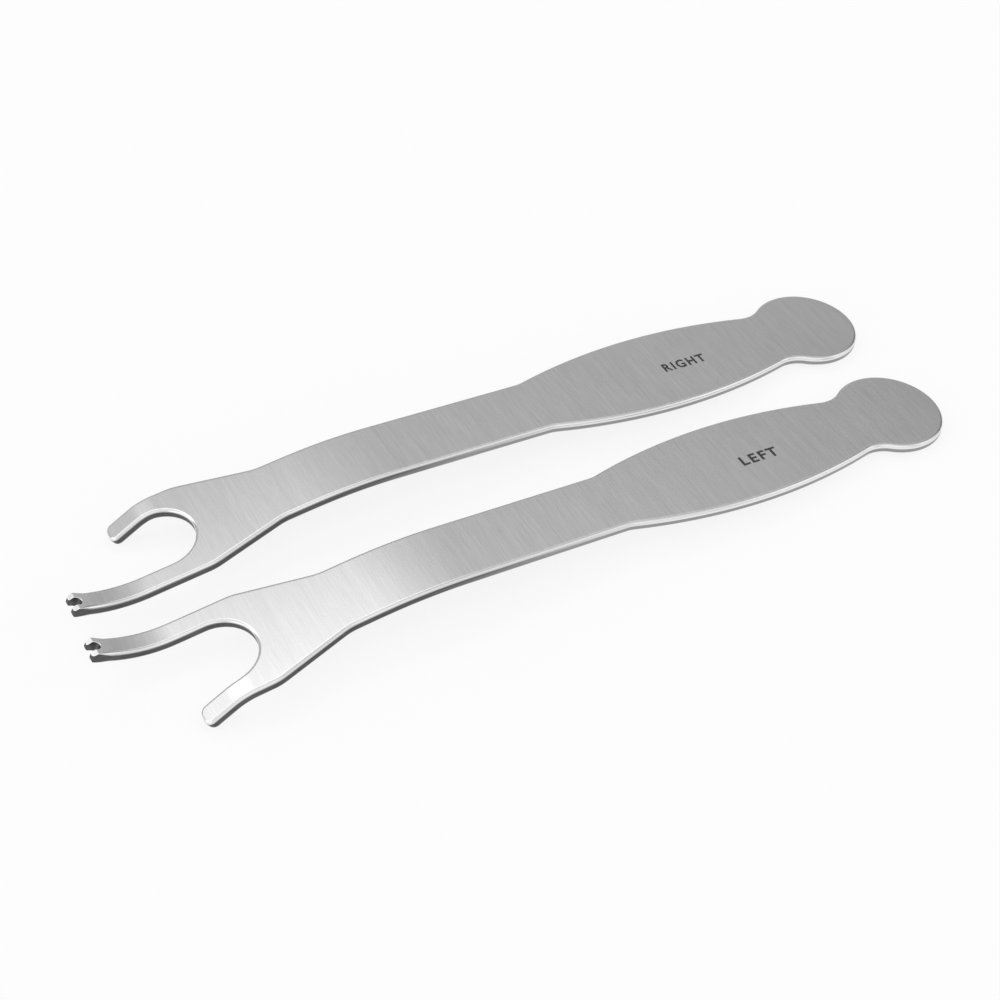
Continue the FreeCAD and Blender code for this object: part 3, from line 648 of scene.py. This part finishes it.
studio = {
    "tableSize": 6.0, "tableColour": "#FDFDFD", "tableRoughness": 0.9, "tableSheen": 0.1,
    "tableGlow": 0.8,    # share of plain white in what the camera and the steel see of the table
    "horizon": 0.06,
    # Soft panes of light on the dome, each with the radiance it adds. A pane is full where a
    # direction is past all its edges. An edge is an axis, and the cosines of the angle to it at
    # which the light starts and is full.
    "panes": [
        # the sky above the horizon
        {"radiance": 0.19, "edges": [((0, 0, 1), 0.08, 0.42)]},
        # overhead
        {"radiance": 1.09, "edges": [((0.268, 0.693, 0.669), 0.03, 0.07), ((0, -1, 0), 0.30, 0.46)]},
        # paler to the right
        {"radiance": 0.35, "edges": [((0.80, 0.00, 0.60), -0.25, 0.15)]},
        # lights the near edges
        {"radiance": 0.78, "edges": [((-1, 0, 0), 0.46, 0.60), ((0, 1, 0), -0.05, 0.30),
                                     ((0, 0, 1), 0.00, 0.20)]},
        # carries that over the blades' edges
        {"radiance": 0.34, "edges": [((1, 0, 0), -0.35, -0.10), ((0, 1, 0), -0.50, -0.32),
                                     ((0, 0, 1), 0.55, 0.75)]},
        # lights the fork's tips
        {"radiance": 0.45, "edges": [((-0.62, -0.72, 0.20), 0.94, 0.985)]},
        # behind the camera, and more low down there
        {"radiance": 0.12, "edges": [((0, 1, 0), 0.00, 0.30)]},
        {"radiance": 0.38, "edges": [((0, 1, 0), 0.62, 0.86)]},
        # from the far right
        {"radiance": 0.80, "edges": [((1, 0, 0), 0.72, 0.88)]},
    ],
}


def makeTable():
    # A matt white table. Seen straight on or mirrored in the steel it glows a little, which keeps
    # it white and its shadows soft.
    half = studio["tableSize"] / 2
    corners = [(-half, -half, 0), (half, -half, 0), (half, half, 0), (-half, half, 0)]
    mesh = bpy.data.meshes.new("table")
    mesh.from_pydata(corners, [], [(0, 1, 2, 3)])
    table = bpy.data.objects.new("table", mesh)
    bpy.context.collection.objects.link(table)
    material = newMaterial("matteWhiteTable")
    tree = material.node_tree
    matt = addNode(tree, "ShaderNodeBsdfPrincipled", (0, 0), {
        "Base Color": linear(studio["tableColour"]), "Roughness": studio["tableRoughness"],
        "Specular IOR Level": studio["tableSheen"]})
    white = addNode(tree, "ShaderNodeEmission", (0, -400), {"Strength": 1.0})
    ray = addNode(tree, "ShaderNodeLightPath", (-600, 300)).outputs
    seen = addNode(tree, "ShaderNodeMath", (-400, 300), {
        0: ray["Is Camera Ray"], 1: ray["Is Glossy Ray"]}, operation="MAXIMUM").outputs[0]
    seen = addNode(tree, "ShaderNodeMath", (-200, 300), {
        0: seen, 1: ray["Is Transmission Ray"]}, operation="MAXIMUM").outputs[0]
    glow = addNode(tree, "ShaderNodeMath", (0, 300), {
        0: seen, 1: studio["tableGlow"]}, operation="MULTIPLY").outputs[0]
    mixed = addNode(tree, "ShaderNodeMixShader", (300, 0), {0: glow, 1: matt.outputs[0], 2: white.outputs[0]})
    addNode(tree, "ShaderNodeOutputMaterial", (500, 0), {"Surface": mixed.outputs[0]})
    mesh.materials.append(material)


def makeLight():
    # a dim horizon, and soft panes of light above it
    world = bpy.data.worlds.new("paleStudio")
    bpy.context.scene.world = world
    world.use_nodes = True
    tree = world.node_tree
    way = addNode(tree, "ShaderNodeTexCoord", (-1300, 0)).outputs["Generated"]
    level = studio["horizon"]
    for row, pane in enumerate(studio["panes"]):
        light = pane["radiance"]
        for column, (axis, start, full) in enumerate(pane["edges"]):
            x, y = -1100 + 500 * column, -250 * row
            facing = addNode(tree, "ShaderNodeVectorMath", (x, y), {
                0: way, 1: Vector(axis).normalized()}, operation="DOT_PRODUCT")
            edge = addNode(tree, "ShaderNodeMapRange", (x + 180, y), {
                "Value": facing.outputs["Value"], "From Min": start, "From Max": full},
                interpolation_type="SMOOTHSTEP")
            light = addNode(tree, "ShaderNodeMath", (x + 340, y), {
                0: light, 1: edge.outputs[0]}, operation="MULTIPLY").outputs[0]
        level = addNode(tree, "ShaderNodeMath", (0, y), {0: level, 1: light}, operation="ADD").outputs[0]
    # the camera itself sees plain white beyond the table
    seen = addNode(tree, "ShaderNodeLightPath", (200, 300)).outputs["Is Camera Ray"]
    unseen = addNode(tree, "ShaderNodeMath", (400, 300), {0: 1.0, 1: seen}, operation="SUBTRACT")
    dimmed = addNode(tree, "ShaderNodeMath", (500, 0), {0: level, 1: unseen.outputs[0]}, operation="MULTIPLY")
    total = addNode(tree, "ShaderNodeMath", (600, 0), {0: seen, 1: dimmed.outputs[0]}, operation="ADD")
    tree.links.new(total.outputs[0], tree.nodes["Background"].inputs["Strength"])
    tree.nodes["Background"].inputs["Color"].default_value = (1, 1, 1, 1)


camera = {
    "place": (0.18167, 0.30050, 0.34369), "forward": (-0.35864, -0.61572, -0.70162),
    "roll": 2.093,                                  # degrees about the way it looks
    "focalPixels": 1781.28, "framePixels": 1000,    # focal length, and the frame's width
    "shift": (-0.0005, 0.0005), "sensorWidth": 36, "clip": (0.01, 50),
}


def makeCamera():
    lens = bpy.data.cameras.new("camera")
    lens.sensor_width = camera["sensorWidth"]
    lens.lens = camera["focalPixels"] / camera["framePixels"] * lens.sensor_width
    lens.shift_x, lens.shift_y = camera["shift"]
    lens.clip_start, lens.clip_end = camera["clip"]
    view = bpy.data.objects.new("camera", lens)
    view.location = camera["place"]
    view.rotation_mode = "QUATERNION"
    aim = Vector(camera["forward"]).to_track_quat("-Z", "Y")
    view.rotation_quaternion = aim @ Quaternion((0, 0, 1), math.radians(camera["roll"]))
    bpy.context.collection.objects.link(view)
    bpy.context.scene.camera = view


makeTable()
makeLight()
makeCamera()
bpy.context.scene.view_settings.view_transform = "Standard"
print("stage: table, light and camera")
